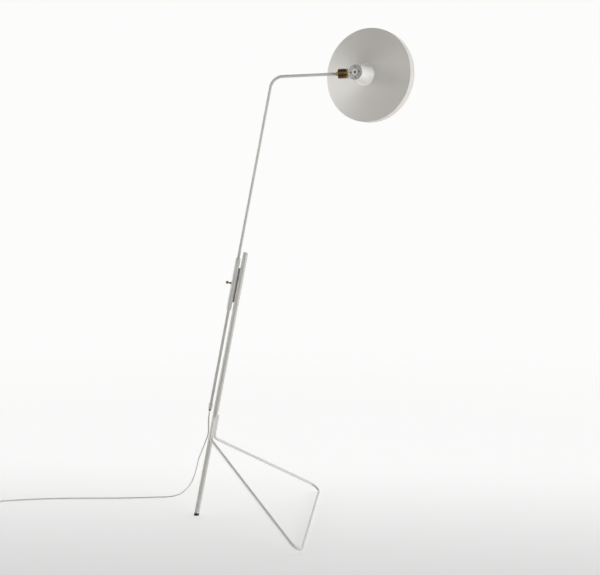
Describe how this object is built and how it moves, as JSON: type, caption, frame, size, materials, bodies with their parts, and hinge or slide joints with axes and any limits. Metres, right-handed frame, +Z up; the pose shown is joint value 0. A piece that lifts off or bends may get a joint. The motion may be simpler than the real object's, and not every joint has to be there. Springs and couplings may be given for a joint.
{
  "type": "adjustable arm floor lamp",
  "caption": "Leaning post on a bent bar base, with a rod that slides and turns in a clamped sleeve and carries a shallow spun shade on a ball joint.",
  "frame": {"origin": "on the floor, at the middle of the level face under the post's rubber foot", "axes": "+Z up, the post leans towards +X over its base, and the base's crossbar lies along Y"},
  "size_m": [1.6566, 0.7294, 1.7129],
  "materials": {
    "white_steel": "satin warm white paint",
    "white_aluminium": "satin warm white paint on spun aluminium",
    "bare_steel": "plain satin steel",
    "brass": "turned brass, slightly darkened",
    "black_rubber": "matt black",
    "nylon": "natural nylon",
    "bakelite": "black moulded",
    "ceramic": "glazed white insulator",
    "opal_glass": "opal white",
    "white_cord": "white flexible cord",
    "white_plastic": "white moulded"
  },
  "bodies": {
    "stand": {"post_tube": "white_steel", "post_top_plug": "white_plastic", "post_foot": "black_rubber", "base_loop": "white_steel", "guide_sleeve": "white_steel", "sleeve_bush_lower": "nylon", "sleeve_bush_upper": "nylon", "web_plate": "white_steel", "screw_boss": "bare_steel", "cord_drop": "white_cord", "cord_run": "white_cord", "cord_coil": "white_cord", "cord_tail": "white_cord", "plug_relief": "white_plastic", "plug_body": "white_plastic", "plug_pin_1": "brass", "plug_pin_2": "brass"},
    "clamp_pad": {"pressure_pad": "nylon"},
    "thumb_screw": {"thumb_screw": "brass", "thumb_knob": "brass"},
    "slider": {"cord_gland": "black_rubber"},
    "arm": {"arm_tube": "white_steel", "inner_lead": "white_cord", "stop_collar": "white_steel", "collar_grub_screw": "bare_steel", "arm_ring": "brass", "arm_keeper": "bare_steel"},
    "barrel": {"joint_barrel": "brass", "barrel_cap": "brass", "ball_seat": "nylon", "seat_spring": "bare_steel"},
    "ball": {"ball_stud": "brass", "stud_nut": "bare_steel"},
    "head": {"shade_neck": "white_aluminium", "vent_plate": "bare_steel", "shade": "white_aluminium", "holder_nipple": "white_steel", "nipple_ring_nut": "white_steel", "lamp_holder": "bakelite", "contact_block": "ceramic", "centre_contact": "brass", "shade_ring": "bakelite", "holder_lead": "white_cord", "bulb_cap": "brass", "bulb_glass": "opal_glass"}
  },
  "joints": [
    {"name": "pad_travel", "type": "slide", "parent": "stand", "child": "clamp_pad", "axis": [-0.982, 0, 0.1891], "range_m": [0, 0.0016]},
    {"name": "thumb_screw_turn", "type": "hinge", "parent": "clamp_pad", "child": "thumb_screw", "pos_m": [0.13614, 0, 0.82596], "axis": [-0.982, 0, 0.1891], "range_deg": [0, 720]},
    {"name": "arm_slide", "type": "slide", "parent": "stand", "child": "slider", "axis": [0.1891, 0, 0.982], "range_m": [-0.3, 0.338], "deforming": ["cord_drop"]},
    {"name": "arm_swivel", "type": "hinge", "parent": "slider", "child": "arm", "pos_m": [0.04942, 0, 0.37563], "axis": [0.1891, 0, 0.982], "range_deg": [-170, 170]},
    {"name": "barrel_turn", "type": "hinge", "parent": "arm", "child": "barrel", "pos_m": [0.5311, -0.02773, 1.54495], "axis": [0.9942, -0.1075, 0], "range_deg": [-170, 170]},
    {"name": "shade_tilt", "type": "hinge", "parent": "barrel", "child": "ball", "pos_m": [0.5311, -0.02773, 1.54495], "axis": [0.0089, 0.0828, -0.9965], "range_deg": [-44, 9]},
    {"name": "shade_twist", "type": "hinge", "parent": "ball", "child": "head", "pos_m": [0.5311, -0.02773, 1.54495], "axis": [0.9148, -0.4032, -0.0253], "range_deg": [-90, 90]}
  ],
  "couplings": [
    {"joint": "thumb_screw_turn", "follows": "pad_travel", "rad_per_m": 7854}
  ]
}
